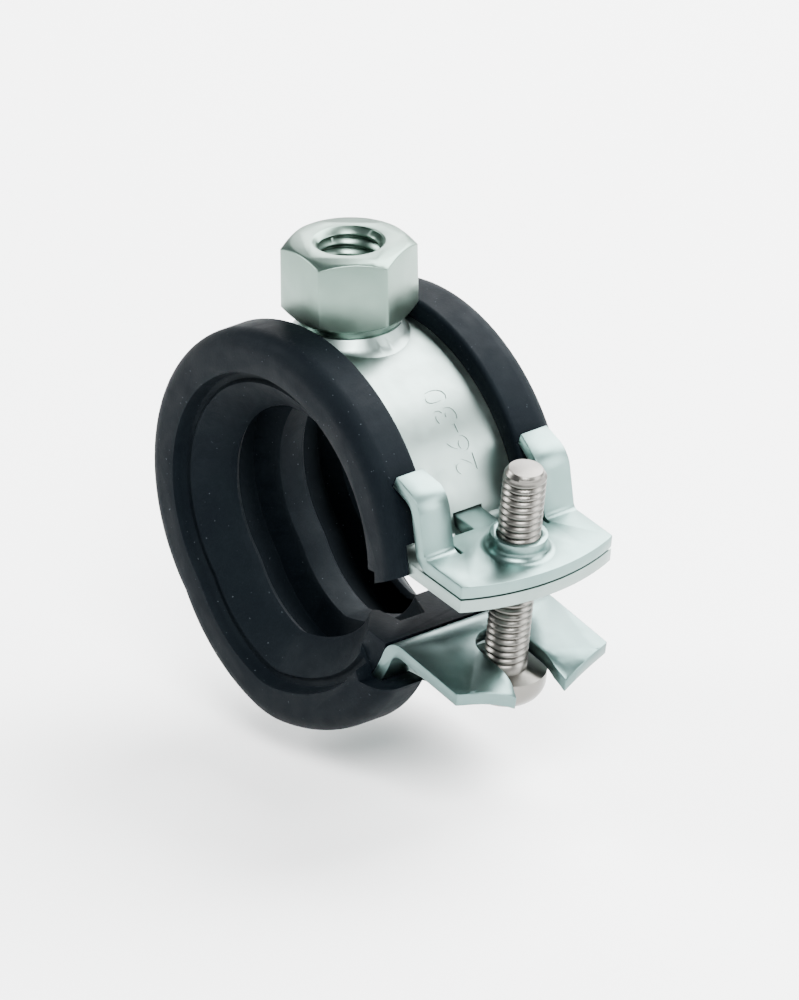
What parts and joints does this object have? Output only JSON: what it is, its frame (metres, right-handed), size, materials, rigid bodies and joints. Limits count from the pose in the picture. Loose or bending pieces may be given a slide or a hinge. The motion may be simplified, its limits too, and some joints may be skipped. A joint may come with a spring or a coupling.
{
  "type": "pipe clamp",
  "caption": "Rubber-lined steel pipe clamp with a hinged lower half, a slotted quick-closing flange, one closing screw and a hexagon connection nut.",
  "frame": {"origin": "centre of the pipe seat in the upper half, midway along the liner", "axes": "+Y along the pipe, +Z towards the connection nut, +X towards the closing screw"},
  "size_m": [0.0542, 0.025, 0.0538],
  "materials": {
    "zinc_plated_steel": "bright zinc plating with a faint green and grey tint",
    "zinc_plated_nut": "bright zinc plating",
    "zinc_plated_screw": "bright zinc plating",
    "liner_rubber": "matt black rubber"
  },
  "bodies": {
    "upper_half": {"upper_band": "zinc_plated_steel", "connection_nut": "zinc_plated_nut", "lock_plate": "zinc_plated_steel", "liner_upper": "liner_rubber"},
    "lower_half": {"lower_band": "zinc_plated_steel", "liner_lower": "liner_rubber"},
    "screw": {"closing_screw": "zinc_plated_screw"}
  },
  "joints": [
    {"name": "closing_hinge", "type": "hinge", "parent": "upper_half", "child": "lower_half", "pos_m": [-0.01549, 0, -0.01366], "axis": [0, -1, 0], "range_deg": [-2, 11.6]},
    {"name": "screw_feed", "type": "slide", "parent": "upper_half", "child": "screw", "axis": [0.1594, 0, 0.9872], "range_m": [-0.0015, 0.0081]}
  ],
  "couplings": [
    {"joint": "screw_feed", "follows": "closing_hinge", "m_per_rad": 0.039}
  ]
}
